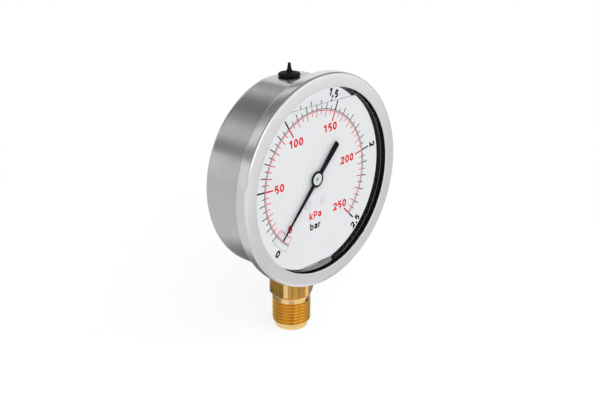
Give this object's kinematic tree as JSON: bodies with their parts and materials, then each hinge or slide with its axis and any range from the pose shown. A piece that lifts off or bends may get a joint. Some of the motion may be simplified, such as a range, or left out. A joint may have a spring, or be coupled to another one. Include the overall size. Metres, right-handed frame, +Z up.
{
  "type": "pressure gauge",
  "caption": "Bottom-entry liquid-filled dial pressure gauge with a crimped ring, glass window, geared Bourdon movement and threaded brass connection.",
  "frame": {"origin": "centre of the connection's end face, on the axis of its thread", "axes": "+Z up along the connection towards the dial, the dial faces -Y, +X to the right as the dial is read"},
  "size_m": [0.11, 0.0362, 0.1445],
  "materials": {
    "case_steel": "brushed round the case, bright",
    "ring_steel": "satin",
    "window_glass": "clear, polished",
    "black_rubber": "matt moulded rubber",
    "dial_enamel": "white satin enamel with printed scales",
    "pointer_enamel": "black satin enamel",
    "connection_brass": "machined, bright",
    "movement_brass": "stamped and turned",
    "tube_bronze": "drawn bronze, soldered",
    "spring_bronze": "polished strip",
    "bright_steel": "bright turned"
  },
  "bodies": {
    "gauge_body": {"back_plate": "movement_brass", "bezel_ring": "ring_steel", "bourdon_tube": "tube_bronze", "case": "case_steel", "dial": "dial_enamel", "dial_post_left": "movement_brass", "dial_post_right": "movement_brass", "dial_screw_left": "bright_steel", "dial_screw_right": "bright_steel", "fill_plug": "black_rubber", "foot_screw_left": "bright_steel", "foot_screw_right": "bright_steel", "front_plate": "movement_brass", "hairspring": "spring_bronze", "hairspring_stud": "movement_brass", "pillar_left": "movement_brass", "pillar_lower": "movement_brass", "pillar_upper": "movement_brass", "plate_screw_left": "bright_steel", "plate_screw_lower": "bright_steel", "plate_screw_upper": "bright_steel", "restrictor": "bright_steel", "socket": "connection_brass", "socket_nut": "bright_steel", "socket_seal": "black_rubber", "window": "window_glass", "window_gasket": "black_rubber"},
    "pointer_shaft": {"pointer": "pointer_enamel", "pointer_bush": "bright_steel", "pinion_arbor": "bright_steel", "hairspring_collet": "movement_brass"},
    "sector": {"sector_gear": "movement_brass", "sector_arbor": "bright_steel", "tail_pin": "bright_steel"},
    "tube_tip": {"tip_block": "tube_bronze", "tip_pin": "bright_steel"},
    "link_bar": {"link": "movement_brass"}
  },
  "joints": [
    {"name": "pointer_turn", "type": "hinge", "parent": "gauge_body", "child": "pointer_shaft", "pos_m": [0, 0, 0.088], "axis": [0, 1, 0], "range_deg": [0, 270], "stiffness_Nm_per_rad": 0.0001, "springref_deg": -57.3, "deforming": ["hairspring"]},
    {"name": "sector_swing", "type": "hinge", "parent": "gauge_body", "child": "sector", "pos_m": [0.01655, 0, 0.07507], "axis": [0, -1, 0], "range_deg": [0, 30.1]},
    {"name": "tip_swing", "type": "hinge", "parent": "gauge_body", "child": "tube_tip", "pos_m": [-0.00795, 0, 0.0965], "axis": [0, -1, 0], "range_deg": [0, 5.66], "deforming": ["bourdon_tube"]},
    {"name": "link_swing", "type": "hinge", "parent": "tube_tip", "child": "link_bar", "pos_m": [0.0315, 0, 0.0862], "axis": [0, 1, 0], "range_deg": [0, 4.9]}
  ],
  "couplings": [
    {"joint": "sector_swing", "follows": "pointer_turn", "ratio": 0.11111},
    {"joint": "tip_swing", "follows": "pointer_turn", "ratio": 0.020909},
    {"joint": "link_swing", "follows": "pointer_turn", "ratio": 0.018062}
  ]
}
